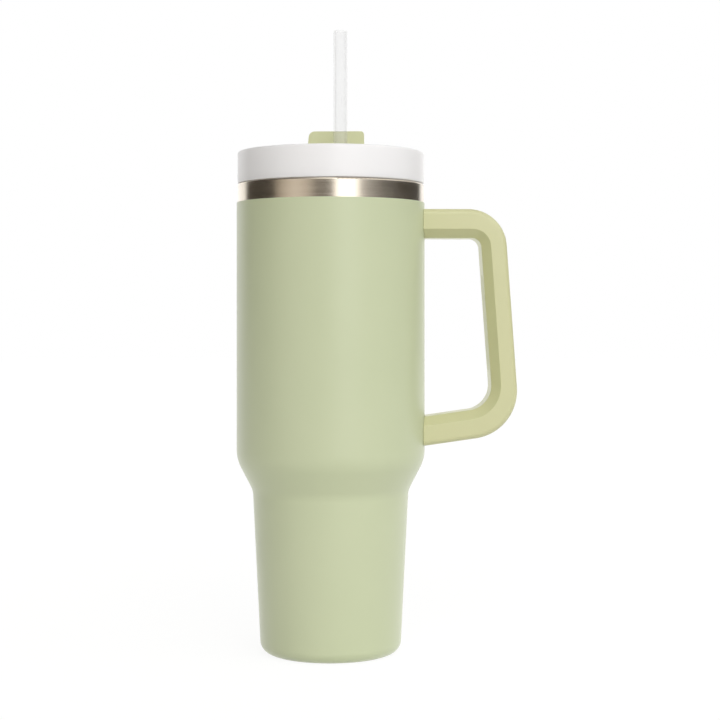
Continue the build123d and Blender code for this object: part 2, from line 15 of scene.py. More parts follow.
import bmesh
import bpy
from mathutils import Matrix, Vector

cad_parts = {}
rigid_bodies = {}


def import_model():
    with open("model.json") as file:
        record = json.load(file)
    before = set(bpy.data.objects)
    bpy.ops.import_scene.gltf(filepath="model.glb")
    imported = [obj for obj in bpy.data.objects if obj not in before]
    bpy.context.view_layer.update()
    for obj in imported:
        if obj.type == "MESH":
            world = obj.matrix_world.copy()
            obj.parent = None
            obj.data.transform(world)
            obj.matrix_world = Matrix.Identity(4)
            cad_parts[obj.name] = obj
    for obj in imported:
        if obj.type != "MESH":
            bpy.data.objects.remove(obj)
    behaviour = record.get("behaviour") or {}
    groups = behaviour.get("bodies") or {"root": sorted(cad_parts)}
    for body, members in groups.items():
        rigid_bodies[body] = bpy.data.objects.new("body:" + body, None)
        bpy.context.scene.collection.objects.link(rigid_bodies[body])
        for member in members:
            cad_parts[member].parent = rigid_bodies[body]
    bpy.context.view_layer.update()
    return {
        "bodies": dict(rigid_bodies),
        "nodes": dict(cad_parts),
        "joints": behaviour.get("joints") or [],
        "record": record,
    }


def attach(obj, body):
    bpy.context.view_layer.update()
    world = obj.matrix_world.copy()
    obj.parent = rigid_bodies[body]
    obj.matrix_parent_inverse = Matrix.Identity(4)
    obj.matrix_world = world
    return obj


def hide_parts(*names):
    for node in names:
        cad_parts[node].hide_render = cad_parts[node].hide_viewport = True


LOG = logging.getLogger("travel_mug")
MM = 0.001
MERGE_GAP = 0.002 * MM
UP = Vector((0.0, 0.0, 1.0))
WHITE = (1.0, 1.0, 1.0, 1.0)

# Sockets of a Mix node that mixes colours, which share their names with others.
MIX_SHARE, MIX_FIRST, MIX_SECOND = 0, 6, 7
MIX_RESULT = 2

Colour = tuple[float, float, float, float]
Point = tuple[float, float]
Light = tuple[float, float, float]
Number = Union[float, "Value"]


def srgb(red: int, green: int, blue: int) -> Colour:
    """Turn a colour in 0 to 255 display values into the linear colour shaders use.

    The numbers are those of the sRGB standard.

    Args:
        red: Red from 0 to 255.
        green: Green from 0 to 255.
        blue: Blue from 0 to 255.

    Returns:
        The linear colour with full alpha.
    """
    linear = []
    for part in (red, green, blue):
        share = part / 255
        low = share / 12.92
        high = ((share + 0.055) / 1.055) ** 2.4
        linear.append(low if share <= 0.04045 else high)
    return (linear[0], linear[1], linear[2], 1.0)


# ------------------------------------------------------------------ Shader building


class Value:
    """A shader number that adds Math nodes when it is used in an expression."""

    def __init__(self, shader: "Shader", socket: bpy.types.NodeSocket) -> None:
        """Wrap an output socket of a shader's tree."""
        self.shader = shader
        self.socket = socket

    def maths(self, operation: str, *others: Number, clamp: bool = False) -> "Value":
        """Add one Math node with this value first.

        Args:
            operation: The Math node's operation.
            others: The other operands, numbers or values.
            clamp: Whether the result is kept from 0 to 1.

        Returns:
            The node's result.
        """
        return self.shader.maths(operation, self, *others, clamp=clamp)

    def __add__(self, other: Number) -> "Value":
        """Add."""
        return self.maths("ADD", other)

    __radd__ = __add__

    def __mul__(self, other: Number) -> "Value":
        """Multiply."""
        return self.maths("MULTIPLY", other)

    __rmul__ = __mul__

    def __sub__(self, other: Number) -> "Value":
        """Subtract."""
        return self.maths("SUBTRACT", other)

    def __rsub__(self, other: Number) -> "Value":
        """Subtract this value from a number."""
        return self.shader.maths("SUBTRACT", other, self)

    def __truediv__(self, other: Number) -> "Value":
        """Divide."""
        return self.maths("DIVIDE", other)

    def __rtruediv__(self, other: Number) -> "Value":
        """Divide a number by this value."""
        return self.shader.maths("DIVIDE", other, self)

    def __pow__(self, other: Number) -> "Value":
        """Raise to a power."""
        return self.maths("POWER", other)

    def __rpow__(self, other: Number) -> "Value":
        """Raise a number to this value."""
        return self.shader.maths("POWER", other, self)


class Shader:
    """A material or world under construction, with the few node calls it needs."""

    def __init__(self, owner: Union[bpy.types.Material, bpy.types.World]) -> None:
        """Empty the owner's node tree.

        Args:
            owner: The new material or world.
        """
        self.owner = owner
        owner.use_nodes = True
        self.tree = owner.node_tree
        self.tree.nodes.clear()

    def node(
        self, kind: str, settings: dict[str, Any], inputs: dict[Any, Any]
    ) -> bpy.types.Node:
        """Add one node, set it up and feed its sockets.

        Args:
            kind: The node's type.
            settings: Attributes, set first. "stops" gives a colour ramp's stops.
            inputs: Socket name or index to a number, a colour, a socket or a Value.

        Returns:
            The new node.
        """
        made = self.tree.nodes.new(kind)
        for key, setting in settings.items():
            if key == "stops":
                self._ramp(made.color_ramp, setting)
            else:
                setattr(made, key, setting)
        for key, fed in inputs.items():
            socket = made.inputs[key]
            if isinstance(fed, Value):
                fed = fed.socket
            if isinstance(fed, bpy.types.NodeSocket):
                self.tree.links.new(fed, socket)
            else:
                socket.default_value = fed
        return made

    @staticmethod
    def _ramp(
        ramp: bpy.types.ColorRamp, stops: Sequence[tuple[float, Colour]]
    ) -> None:
        """Give a colour ramp its stops.

        Args:
            ramp: The ramp.
            stops: Position and colour of each stop, in order.
        """
        while len(ramp.elements) < len(stops):
            ramp.elements.new(1.0)
        for element, (place, colour) in zip(ramp.elements, stops):
            element.position = place
            element.color = colour

    def maths(self, operation: str, *operands: Number, clamp: bool = False) -> Value:
        """Add a Math node.

        Args:
            operation: The node's operation.
            operands: Numbers or values, in order.
            clamp: Whether the result is kept from 0 to 1.

        Returns:
            The node's result.
        """
        settings = {"operation": operation, "use_clamp": clamp}
        made = self.node("ShaderNodeMath", settings, dict(enumerate(operands)))
        return Value(self, made.outputs[0])

    def eased(self, number: Value, low: float, high: float) -> Value:
        """Ease from 0 to 1 as a number goes from low to high.

        Args:
            number: The number.
            low: Where the result leaves 0.
            high: Where the result reaches 1.

        Returns:
            The eased share.
        """
        settings = {"interpolation_type": "SMOOTHSTEP"}
        inputs = {"Value": number, "From Min": low, "From Max": high}
        made = self.node("ShaderNodeMapRange", settings, inputs)
        return Value(self, made.outputs["Result"])

    def place(self) -> bpy.types.NodeSocket:
        """Give the object coordinates, which are the frame's own metres."""
        return self.node("ShaderNodeTexCoord", {}, {}).outputs["Object"]

    def axes(self) -> tuple[Value, Value, Value]:
        """Split the object coordinates into X, Y and Z."""
        made = self.node("ShaderNodeSeparateXYZ", {}, {0: self.place()})
        return tuple(Value(self, made.outputs[i]) for i in range(3))

    def vector(self, x: Number, y: Number, z: Number) -> bpy.types.NodeSocket:
        """Join three numbers into a vector."""
        return self.node("ShaderNodeCombineXYZ", {}, {0: x, 1: y, 2: z}).outputs[0]

    def noise(
        self, where: bpy.types.NodeSocket, scale: float, detail: float = 2.0
    ) -> Value:
        """Add a noise texture.

        Args:
            where: The coordinates it reads.
            scale: Features in each unit of the coordinates.
            detail: How many finer layers it has.

        Returns:
            Its value, about 0.5 on average.
        """
        inputs = {"Vector": where, "Scale": scale, "Detail": detail}
        made = self.node("ShaderNodeTexNoise", {"noise_dimensions": "3D"}, inputs)
        return Value(self, made.outputs["Fac"])

    def swing(self, middle: float, *parts: tuple[Value, float]) -> Value:
        """Swing a number about its middle by one noise or more.

        Args:
            middle: The number where every noise is 0.5.
            parts: Each noise and how far it takes the number from end to end.

        Returns:
            The swinging number.
        """
        total = middle - sum(span for _, span in parts) / 2
        for noise, span in parts:
            total = noise * span + total
        return total

    def mix(self, share: Number, first: Any, second: Any) -> bpy.types.NodeSocket:
        """Mix two colours.

        Args:
            share: How much of the second colour, from 0 to 1.
            first: The first colour or a link to one.
            second: The second colour or a link to one.

        Returns:
            The mixed colour.
        """
        inputs = {MIX_SHARE: share, MIX_FIRST: first, MIX_SECOND: second}
        made = self.node("ShaderNodeMix", {"data_type": "RGBA"}, inputs)
        return made.outputs[MIX_RESULT]

    def blend(
        self, share: Number, first: bpy.types.Node, second: bpy.types.Node
    ) -> bpy.types.NodeSocket:
        """Mix two surfaces or two backgrounds.

        Args:
            share: How much of the second one, from 0 to 1.
            first: The first one's node.
            second: The second one's node.

        Returns:
            The mixed shader.
        """
        inputs = {0: share, 1: first.outputs[0], 2: second.outputs[0]}
        return self.node("ShaderNodeMixShader", {}, inputs).outputs[0]

    def bump(
        self, height: Number, strength: float, depth: float
    ) -> bpy.types.NodeSocket:
        """Turn a height into a bumped normal.

        Args:
            height: The height's value, from 0 to 1.
            strength: How much of it is used.
            depth: The height's full size in metres.

        Returns:
            The normal.
        """
        inputs = {"Height": height, "Strength": strength, "Distance": depth}
        return self.node("ShaderNodeBump", {}, inputs).outputs["Normal"]

    def surface(self, inputs: dict[str, Any]) -> bpy.types.Material:
        """Close the material with a Principled surface.

        Args:
            inputs: The surface's sockets.

        Returns:
            The finished material.
        """
        made = self.node("ShaderNodeBsdfPrincipled", {}, inputs)
        self.node("ShaderNodeOutputMaterial", {}, {"Surface": made.outputs[0]})
        return self.owner


def new_shader(name: str) -> Shader:
    """Start a new material.

    Args:
        name: The material's name.

    Returns:
        The shader that builds it.
    """
    return Shader(bpy.data.materials.new(name))


@dataclass(frozen=True)
class Coating:
    """A satin coat of paint or moulded skin, with a fine orange-peel texture.

    Args:
        name: The material's name.
        colour: Its main colour.
        shade: The colour of its slightly thicker patches.
        roughness: How blurred its reflections are.
        grain: Texture features in each metre.
        depth: The texture's height in metres.
        relief: How much of that height shows.
        bend: Its index of refraction.
        peel_swing: How far the texture takes the roughness from end to end.
        patch_scale: Broad patches in each metre.
        patch_low: Patch noise under this keeps the main colour.
        patch_gain: How fast a patch takes the shade above it.
        patch_round: How softly it reaches its full shade.
        patch_share: How much of the shade a full patch takes.
        patch_swing: How far the patches take the roughness from end to end.
        fleck_ratio: Flecks to each texture feature.
        fleck_low: Fleck noise under this shows no fleck.
        fleck_gain: How fast a fleck takes the shade above it.
        fleck_share: How much of the shade a full fleck takes.
        fleck_height: The flecks' height beside the texture's.
    """

    name: str
    colour: Colour
    shade: Colour
    roughness: float
    grain: float = 2600.0
    depth: float = 0.012 * MM
    relief: float = 0.35
    bend: float = 1.5
    peel_swing: float = 0.08
    patch_scale: float = 22.0
    patch_low: float = 0.3
    patch_gain: float = 2.4
    patch_round: float = 0.2
    patch_share: float = 0.6
    patch_swing: float = 0.05
    fleck_ratio: float = 3.1
    fleck_low: float = 0.62
    fleck_gain: float = 5.0
    fleck_share: float = 0.18
    fleck_height: float = 0.25

    def build(self) -> bpy.types.Material:
        """Build the material.

        Returns:
            The finished material.
        """
        make = new_shader(self.name)
        where = make.place()
        patches = make.noise(where, self.patch_scale, detail=3.0)
        peel = make.noise(where, self.grain)
        flecks = make.noise(where, self.grain * self.fleck_ratio, detail=1.0)
        rise = (patches - self.patch_low) * self.patch_gain
        blotch = make.maths("SMOOTH_MIN", rise, 1.0, self.patch_round, clamp=True)
        speck = (flecks - self.fleck_low).maths("MULTIPLY", self.fleck_gain, clamp=True)
        share = blotch * self.patch_share + speck * self.fleck_share
        height = peel + flecks * self.fleck_height
        return make.surface(
            {
                "Base Color": make.mix(share, self.colour, self.shade),
                "Roughness": make.swing(
                    self.roughness, (peel, self.peel_swing), (patches, self.patch_swing)
                ),
                "IOR": self.bend,
                "Normal": make.bump(height, self.relief, self.depth),
            }
        )


@dataclass(frozen=True)
class BrushedSteel:
    """Bare stainless steel, brushed round the mug's axis.

    Args:
        name: The material's name.
        bright: The colour of the ridges between brush lines.
        dull: The colour of the brush lines.
        roughness: How blurred its reflections are.
        lines: Brush lines in each metre across the grain.
        line_change: How often a fine line changes along a metre of its length.
        broad_ratio: Broad lines to each fine one.
        broad_change: How often a broad line changes along a metre of its length.
        fine_share: How much of the pattern is fine lines, from 0 to 1.
        line_swing: How far the lines take the roughness from end to end.
        smear_scale: Faint smears in each metre.
        smear_swing: How far the smears take the roughness from end to end.
        stretch: How far reflections are drawn out across the lines.
        relief: How much of the lines' height shows.
        depth: The lines' height in metres.
    """

    name: str
    bright: Colour
    dull: Colour
    roughness: float
    lines: float = 5200.0
    line_change: float = 14.0
    broad_ratio: float = 0.21
    broad_change: float = 30.0
    fine_share: float = 0.7
    line_swing: float = 0.3
    smear_scale: float = 60.0
    smear_swing: float = 0.06
    stretch: float = 0.4
    relief: float = 0.12
    depth: float = 0.01 * MM

    def build(self) -> bpy.types.Material:
        """Build the material.

        Returns:
            The finished material.
        """
        make = new_shader(self.name)
        x, y, z = make.axes()
        across = (x * x + y * y).maths("SQRT") + z
        along = make.vector(
            x * self.line_change, y * self.line_change, across * self.lines
        )
        fine = make.noise(along, 1.0)
        along = make.vector(
            x * self.broad_change,
            y * self.broad_change,
            across * self.lines * self.broad_ratio,
        )
        broad = make.noise(along, 1.0, detail=1.0)
        smears = make.noise(make.place(), self.smear_scale, detail=3.0)
        lines = fine * self.fine_share + broad * (1.0 - self.fine_share)
        return make.surface(
            {
                "Base Color": make.mix(lines, self.dull, self.bright),
                "Metallic": 1.0,
                "Roughness": make.swing(
                    self.roughness, (lines, self.line_swing), (smears, self.smear_swing)
                ),
                "Anisotropic": self.stretch,
                "Normal": make.bump(lines, self.relief, self.depth),
            }
        )


@dataclass(frozen=True)
class Moulded:
    """Moulded plastic, silicone or glass with a faint flow and a fine tool texture.

    Args:
        name: The material's name.
        colour: Its colour.
        shade: Its colour where it is a little denser.
        roughness: How blurred its reflections are.
        depth: The height of its surface texture in metres.
        grain: Texture features in each metre.
        scatter: Weight of the light that spreads under the surface.
        spread: How far that light spreads, in metres.
        clear: Weight of the light that passes through.
        bend: Its index of refraction.
        relief: How much of the texture's height shows.
        grain_swing: How far the texture takes the roughness from end to end.
        flow_scale: Flow marks in each metre.
        flow_low: Flow noise under this keeps the main colour.
        flow_gain: How fast the flow takes the shade above it.
        flow_swing: How far the flow takes the roughness from end to end.
    """

    name: str
    colour: Colour
    shade: Colour
    roughness: float
    depth: float = 0.008 * MM
    grain: float = 3400.0
    scatter: float = 0.0
    spread: float = 6.0 * MM
    clear: float = 0.0
    bend: float = 1.49
    relief: float = 0.3
    grain_swing: float = 0.06
    flow_scale: float = 30.0
    flow_low: float = 0.25
    flow_gain: float = 1.6
    flow_swing: float = 0.05

    def build(self) -> bpy.types.Material:
        """Build the material.

        Returns:
            The finished material.
        """
        make = new_shader(self.name)
        where = make.place()
        flow = make.noise(where, self.flow_scale)
        texture = make.noise(where, self.grain)
        share = (flow - self.flow_low).maths("MULTIPLY", self.flow_gain, clamp=True)
        return make.surface(
            {
                "Base Color": make.mix(share, self.colour, self.shade),
                "Roughness": make.swing(
                    self.roughness, (texture, self.grain_swing), (flow, self.flow_swing)
                ),
                "IOR": self.bend,
                "Subsurface Weight": self.scatter,
                "Subsurface Radius": (1.0, 1.0, 1.0),
                "Subsurface Scale": self.spread,
                "Transmission Weight": self.clear,
                "Normal": make.bump(texture, self.relief, self.depth),
            }
        )


@dataclass(frozen=True)
class ClearTube:
    """Clear thin plastic, faint where it is looked through and denser edge on.

    Args:
        name: The material's name.
        colour: Its colour where it is dense.
        roughness: How blurred its reflections are.
        faint: Its weight seen square on.
        dense: What is added to its weight edge on.
        bend: Its index of refraction.
        edge_blend: How far round the tube the dense edge reaches.
        edge_power: How sharply the edge ends.
        flow_scale: Flow marks in each metre.
        faint_swing: How far the marks take the weight from end to end.
        rough_swing: How far the marks take the roughness from end to end.
        relief: How much of the marks' height shows.
        depth: The marks' height in metres.
    """

    name: str
    colour: Colour
    roughness: float
    faint: float
    dense: float
    bend: float = 1.45
    edge_blend: float = 0.35
    edge_power: float = 3.0
    flow_scale: float = 90.0
    faint_swing: float = 0.03
    rough_swing: float = 0.06
    relief: float = 0.15
    depth: float = 0.02 * MM

    def build(self) -> bpy.types.Material:
        """Build the material.

        Returns:
            The finished material.
        """
        make = new_shader(self.name)
        flow = make.noise(make.place(), self.flow_scale)
        facing = make.node("ShaderNodeLayerWeight", {}, {"Blend": self.edge_blend})
        edge = Value(make, facing.outputs["Facing"]) ** self.edge_power
        return make.surface(
            {
                "Base Color": self.colour,
                "Roughness": make.swing(self.roughness, (flow, self.rough_swing)),
                "IOR": self.bend,
                "Alpha": edge * self.dense
                + make.swing(self.faint, (flow, self.faint_swing)),
                "Normal": make.bump(flow, self.relief, self.depth),
            }
        )


class Finish(Enum):
    """Every finish on the mug."""

    BODY = Coating("body_coat", srgb(200, 207, 172), srgb(195, 203, 167), 0.36)
    HANDLE = Coating(
        "handle_coat", srgb(207, 206, 161), srgb(202, 202, 157), 0.34, grain=2200.0
    )
    COVER = Coating(
        "cover_sage", srgb(211, 213, 172), srgb(206, 209, 167), 0.38, grain=3000.0
    )
    GRIP = Coating(
        "grip_soft",
        srgb(203, 203, 158),
        srgb(196, 197, 152),
        0.42,
        grain=1500.0,
        depth=0.03 * MM,
    )
    STEEL = BrushedSteel("bare_steel", srgb(216, 207, 192), srgb(190, 180, 165), 0.2)
    LID = Moulded(
        "lid_white", srgb(245, 243, 244), srgb(242, 241, 242), 0.34, scatter=0.35
    )
    SILICONE = Moulded(
        "silicone", srgb(232, 232, 230), srgb(222, 223, 221), 0.5, clear=0.25, bend=1.41
    )
    STRAW = ClearTube("straw_clear", srgb(226, 226, 227), 0.1, faint=0.09, dense=0.7)
    FOIL = BrushedSteel(
        "foil", srgb(232, 233, 235), srgb(214, 216, 219), 0.18, lines=900.0
    )
    GETTER = Moulded(
        "getter",
        srgb(70, 70, 72),
        srgb(56, 56, 58),
        0.75,
        depth=0.04 * MM,
        grain=4200.0,
    )
    BEAD = Moulded(
        "bead_glass", srgb(96, 110, 104), srgb(86, 98, 94), 0.12, clear=0.4, bend=1.52
    )


class Wardrobe:
    """Builds each finish once and dresses meshes in it."""

    def __init__(self) -> None:
        """Start with nothing built."""
        self.built: dict[Finish, bpy.types.Material] = {}

    def material(self, finish: Finish) -> bpy.types.Material:
        """Give a finish's material, and build it the first time.

        Args:
            finish: The finish.

        Returns:
            Its material.
        """
        if finish not in self.built:
            self.built[finish] = finish.value.build()
        return self.built[finish]

    def dress(self, wearer: bpy.types.Object, finish: Finish) -> None:
        """Put a finish on the whole of a mesh object."""
        wearer.data.materials.clear()
        wearer.data.materials.append(self.material(finish))


# ------------------------------------------------------------------ The room


@dataclass
class Studio:
    """The pale floor, the soft light and the camera.

    A light is a bearing in degrees from the camera, a strength and a warmth. A height
    is that of a direction, from 0 for level to 1 for straight up.

    Args:
        floor_half: Half the floor's width in metres.
        floor_glow: How much of the floor's look is its own plain light, from 0 to 1.
        floor_light: That light's strength to the eye.
        floor_sheen: Its strength in reflections.
        floor_colour: The floor's colour where the room's light falls on it.
        unit: The strength that a full colour of light stands for.
        gain: What multiplies all of the room's light.
        warm: The colour of light with a warmth of 1.
        level_top: Height where level light starts to give way.
        upper_low: Height where upper or lower light is all there is.
        zenith_low: Height where upper light starts to give way.
        zenith: Strength of the light from straight above.
        level_light: The lights round the mug at its own height.
        upper_light: The lights round it from above.
        lower_light: The lights round it from below.
        camera_distance: How far the camera stands from the mug's axis, in metres.
        camera_height: How high it stands, in metres.
        camera_azimuth: How far round the mug it stands, in degrees.
        camera_aside: How far it stands to its own right, in metres.
        lens: Its focal length in millimetres.
        sensor: Its sensor's width in millimetres.
        shift: How far its view is shifted upwards, in sensor widths.
        near: The nearest thing it sees, in metres.
        far: The farthest thing it sees, in metres.
    """

    floor_half: float = 6.0
    floor_glow: float = 0.82
    floor_light: float = 1.1
    floor_sheen: float = 1.7
    floor_colour: Colour = srgb(226, 226, 222)
    unit: float = 5.0
    gain: float = 0.99
    warm: Light = (1.0, 0.86, 0.68)
    level_top: float = 0.22
    upper_low: float = 0.5
    zenith_low: float = 0.55
    zenith: float = 0.35
    level_light: Sequence[Light] = (
        (-180, 1.5, 0.0),
        (-132, 1.5, 0.0),
        (-124, 0.07, 1.0),
        (-76, 0.06, 1.0),
        (-66, 0.55, 0.8),
        (-45, 1.0, 0.55),
        (-28, 0.7, 0.6),
        (-18, 0.22, 0.6),
        (1, 0.24, 0.5),
        (7, 2.8, 0.0),
        (28, 2.8, 0.0),
        (36, 0.65, 0.1),
        (66, 0.22, 0.2),
        (98, 0.08, 0.6),
        (138, 0.08, 0.3),
        (145, 1.5, 0.0),
        (180, 1.5, 0.0),
    )
    upper_light: Sequence[Light] = (
        (-180, 0.8, 0.0),
        (-120, 0.1, 0.0),
        (-62, 0.08, 0.0),
        (-30, 0.5, 0.0),
        (-18, 2.9, 0.0),
        (20, 3.1, 0.0),
        (50, 2.2, 0.0),
        (110, 1.1, 0.0),
        (180, 0.8, 0.0),
    )
    lower_light: Sequence[Light] = (
        (-180, 0.3, 0.0),
        (180, 0.3, 0.0),
    )
    camera_distance: float = 0.856
    camera_height: float = 0.174
    camera_azimuth: float = -2.3
    camera_aside: float = 0.0153
    lens: float = 81.95
    sensor: float = 36.0
    shift: float = -0.0586
    near: float = 0.05
    far: float = 50.0

    def build(self) -> None:
        """Build the whole room."""
        scene = bpy.context.scene
        scene.view_settings.view_transform = "Standard"
        self._floor()
        self._sky(scene)
        self._camera(scene)

    def _floor(self) -> None:
        """Lay a plain pale floor, bright to the eye, with only a faint shadow."""
        mesh = bpy.data.meshes.new("floor")
        half = self.floor_half
        outline = [(-half, -half), (half, -half), (half, half), (-half, half)]
        mesh.from_pydata([(*spot, 0.0) for spot in outline], [], [(0, 1, 2, 3)])
        floor = bpy.data.objects.new("floor", mesh)
        bpy.context.scene.collection.objects.link(floor)
        make = new_shader("floor_pale")
        path = make.node("ShaderNodeLightPath", {}, {}).outputs
        seen = Value(make, path["Is Camera Ray"])
        mirrored = Value(make, path["Is Glossy Ray"])
        card = make.node("ShaderNodeBsdfDiffuse", {}, {"Color": self.floor_colour})
        bright = mirrored * (self.floor_sheen - self.floor_light) + self.floor_light
        glow = make.node("ShaderNodeEmission", {}, {"Color": WHITE, "Strength": bright})
        mixed = make.blend((seen + mirrored) * self.floor_glow, card, glow)
        make.node("ShaderNodeOutputMaterial", {}, {"Surface": mixed})
        mesh.materials.append(make.owner)

    def _sky(self, scene: bpy.types.Scene) -> None:
        """Light the room from all round, with dimmer stretches between the lights.

        Args:
            scene: The scene that gets the light.
        """
        world = bpy.data.worlds.new("studio")
        scene.world = world
        make = Shader(world)
        toward = make.node("ShaderNodeTexCoord", {}, {}).outputs["Generated"]
        split = make.node("ShaderNodeSeparateXYZ", {}, {0: toward})
        x, y, z = (Value(make, split.outputs[i]) for i in range(3))
        turn = make.maths("ARCTAN2", x, y * -1.0) / (2 * math.pi) + 0.5
        level = self._round(make, turn, self.level_light)
        upper = self._round(make, turn, self.upper_light)
        lower = self._round(make, turn, self.lower_light)
        up = make.eased(z, self.level_top, self.upper_low)
        down = make.eased(z * -1.0, self.level_top, self.upper_low)
        light = make.mix(down, make.mix(up, level, upper), lower)
        above = [self.zenith / self.unit] * 3
        light = make.mix(make.eased(z, self.zenith_low, 1.0), light, (*above, 1.0))
        inputs = {"Color": light, "Strength": self.unit * self.gain}
        room = make.node("ShaderNodeBackground", {}, inputs)
        plain = make.node("ShaderNodeBackground", {}, {"Color": WHITE, "Strength": 1.0})
        seen = make.node("ShaderNodeLightPath", {}, {}).outputs["Is Camera Ray"]
        mixed = make.blend(Value(make, seen), room, plain)
        make.node("ShaderNodeOutputWorld", {}, {"Surface": mixed})

    def _round(
        self, make: Shader, turn: Value, lights: Sequence[Light]
    ) -> bpy.types.NodeSocket:
        """Give the light that comes from each bearing round the mug.

        Args:
            make: The world's shader.
            turn: The bearing, from 0 behind the mug's left to 1 behind its right.
            lights: The lights in the order of their bearings.

        Returns:
            The light's colour, where 1 stands for unit.
        """
        stops = []
        for bearing, strength, warmth in lights:
            full = strength / self.unit
            part = [full * (1 + warmth * (warm - 1)) for warm in self.warm]
            stops.append((bearing / 360 + 0.5, (part[0], part[1], part[2], 1.0)))
        made = make.node("ShaderNodeValToRGB", {"stops": stops}, {"Fac": turn})
        return made.outputs[0]

    def _camera(self, scene: bpy.types.Scene) -> None:
        """Stand the camera in front of the mug, level with its upper body.

        Args:
            scene: The scene that gets the camera.
        """
        lens = bpy.data.cameras.new("camera")
        lens.lens = self.lens
        lens.sensor_width = self.sensor
        lens.shift_y = self.shift
        lens.clip_start = self.near
        lens.clip_end = self.far
        camera = bpy.data.objects.new("camera", lens)
        scene.collection.objects.link(camera)
        turn = math.radians(self.camera_azimuth)
        ahead = Vector((-math.sin(turn), math.cos(turn), 0.0))
        right = Vector((math.cos(turn), math.sin(turn), 0.0))
        place = right * self.camera_aside - ahead * self.camera_distance
        camera.location = place + UP * self.camera_height
        camera.rotation_euler = (math.pi / 2, 0.0, turn)
        scene.camera = camera


# ------------------------------------------------------------------ Geometry building


class Growth:
    """A Geometry Nodes tree under construction, with named inputs for its counts."""

    def __init__(self, name: str, counts: dict[str, int]) -> None:
        """Make a tree that takes a geometry and the named counts.

        Args:
            name: The tree's name.
            counts: Each count's name and its value.
        """
        self.tree = bpy.data.node_groups.new(name, "GeometryNodeTree")
        face = self.tree.interface
        face.new_socket("Geometry", in_out="INPUT", socket_type="NodeSocketGeometry")
        face.new_socket("Geometry", in_out="OUTPUT", socket_type="NodeSocketGeometry")
        self.counts = counts
        self.sockets = {
            label: face.new_socket(label, in_out="INPUT", socket_type="NodeSocketInt")
            for label in counts
        }
        self.given = self.tree.nodes.new("NodeGroupInput").outputs

    def node(
        self, kind: str, settings: dict[str, Any], inputs: dict[Any, Any]
    ) -> bpy.types.NodeSocket:
        """Add one node, set it up and feed its sockets.

        Args:
            kind: The node's type.
            settings: Attributes, set first.
            inputs: Socket name or index to a value or an output socket.

        Returns:
            The node's first output socket.
        """
        made = self.tree.nodes.new(kind)
        for key, setting in settings.items():
            setattr(made, key, setting)
        for key, fed in inputs.items():
            if isinstance(fed, bpy.types.NodeSocket):
                self.tree.links.new(fed, made.inputs[key])
            else:
                made.inputs[key].default_value = fed
        return made.outputs[0]

    def maths(
        self, operation: str, first: Any, second: Any = 0.0
    ) -> bpy.types.NodeSocket:
        """Add a Math node and give its result."""
        settings = {"operation": operation}
        return self.node("ShaderNodeMath", settings, {0: first, 1: second})

    def grow(
        self,
        shape: bpy.types.NodeSocket,
        name: str,
        seed: bpy.types.Mesh,
        material: bpy.types.Material,
    ) -> bpy.types.Object:
        """Close the tree, run it on a mesh and keep the result as a plain mesh.

        Args:
            shape: The socket that holds the finished shape.
            name: The new piece's name.
            seed: The mesh that the tree starts from.
            material: The material it sets.

        Returns:
            The new piece.
        """
        real = self.node("GeometryNodeRealizeInstances", {}, {0: shape})
        smooth = self.node("GeometryNodeSetShadeSmooth", {}, {0: real})
        dressed = self.node(
            "GeometryNodeSetMaterial", {}, {"Geometry": smooth, "Material": material}
        )
        out = self.tree.nodes.new("NodeGroupOutput")
        self.tree.links.new(dressed, out.inputs[0])
        piece = bpy.data.objects.new(name, seed)
        bpy.context.scene.collection.objects.link(piece)
        modifier = piece.modifiers.new("growth", "NODES")
        modifier.node_group = self.tree
        for label, socket in self.sockets.items():
            modifier[socket.identifier] = self.counts[label]
        view = bpy.context.evaluated_depsgraph_get()
        grown = bpy.data.meshes.new_from_object(piece.evaluated_get(view))
        piece.modifiers.clear()
        piece.data = grown
        grown.name = name
        return piece


def turn_outwards(mesh: bpy.types.Mesh) -> None:
    """Merge a mesh's doubles and point its faces outwards.

    Args:
        mesh: The mesh, which is changed.
    """
    work = bmesh.new()
    work.from_mesh(mesh)
    bmesh.ops.remove_doubles(work, verts=work.verts, dist=MERGE_GAP)
    bmesh.ops.recalc_face_normals(work, faces=work.faces)
    work.to_mesh(mesh)
    work.free()


def rounded_line(
    points: Sequence[Point], radii: Sequence[float], steps: int
) -> list[Point]:
    """Round the corners of a closed outline.

    Args:
        points: The outline's corners, in order.
        radii: Each corner's radius, 0 for a sharp one.
        steps: Points that each arc is drawn with, less one.

    Returns:
        The rounded outline's points.
    """
    line = []
    for place, radius in enumerate(radii):
        corner = Vector(points[place])
        before = (Vector(points[place - 1]) - corner).normalized()
        after = (Vector(points[(place + 1) % len(points)]) - corner).normalized()
        if radius == 0.0:
            line.append((corner.x, corner.y))
            continue
        half = before.angle(after) / 2
        middle = corner + (before + after).normalized() * (radius / math.sin(half))
        start = corner + before * (radius / math.tan(half)) - middle
        end = corner + after * (radius / math.tan(half)) - middle
        for step in range(steps + 1):
            spoke = start.lerp(end, step / steps).normalized() * radius
            if step in (0, steps):
                spoke = start if step == 0 else end
            line.append((middle.x + spoke.x, middle.y + spoke.y))
    return line


